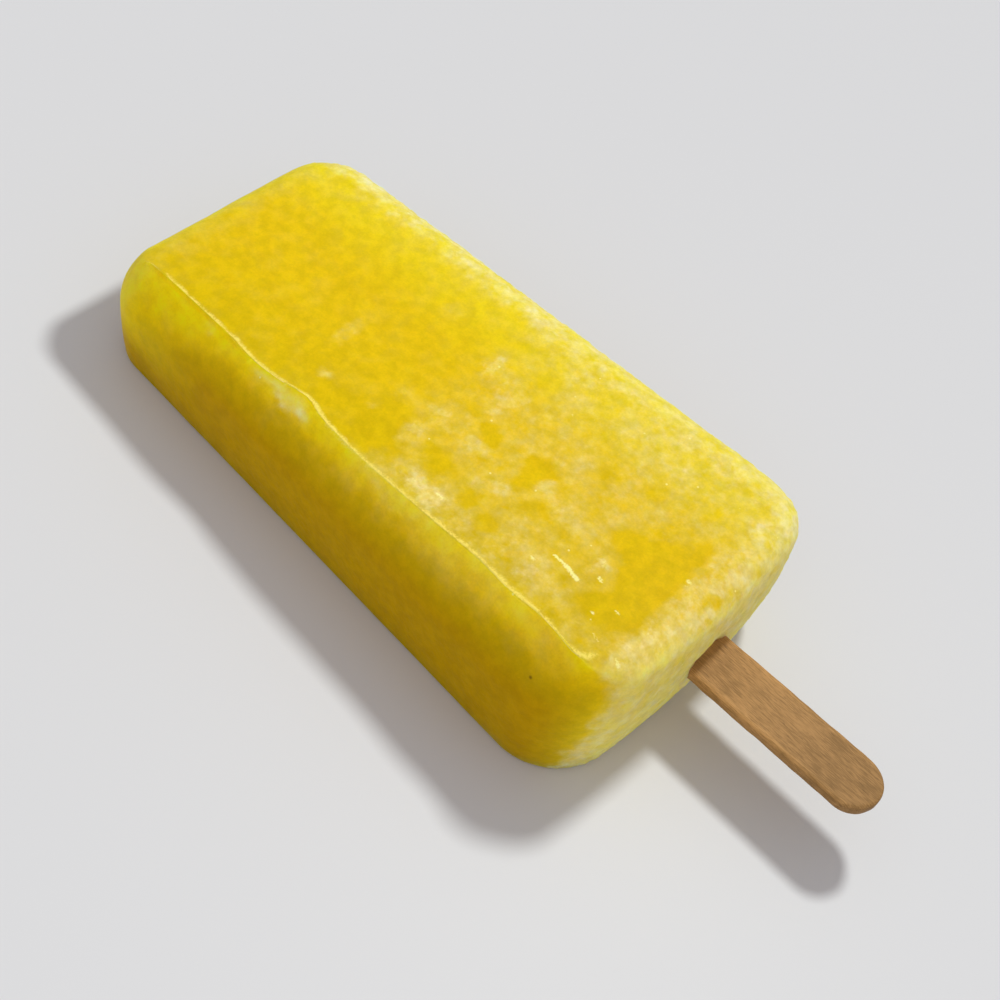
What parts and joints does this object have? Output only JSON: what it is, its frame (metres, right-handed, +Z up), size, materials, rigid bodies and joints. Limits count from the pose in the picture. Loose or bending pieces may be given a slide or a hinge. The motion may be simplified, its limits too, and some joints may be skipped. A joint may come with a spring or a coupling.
{
  "type": "ice lolly",
  "caption": "Frozen fruit ice bar, a rounded slab that tapers to its tip, moulded round a flat wooden stick with a round end and lying on its broad face.",
  "frame": {"origin": "on the ground under the middle of the whole lolly, stick included", "axes": "+X along the bar towards the stick's free end, +Y across the bar away from its sharp long edge, +Z up out of the broad face that shows"},
  "size_m": [0.1508, 0.0584, 0.0306],
  "materials": {
    "fruit_ice": null,
    "birch_wood": "bare tan birch, fine lengthwise grain, matt"
  },
  "bodies": {
    "root": {"ice_body": "fruit_ice", "stick": "birch_wood"}
  },
  "joints": []
}
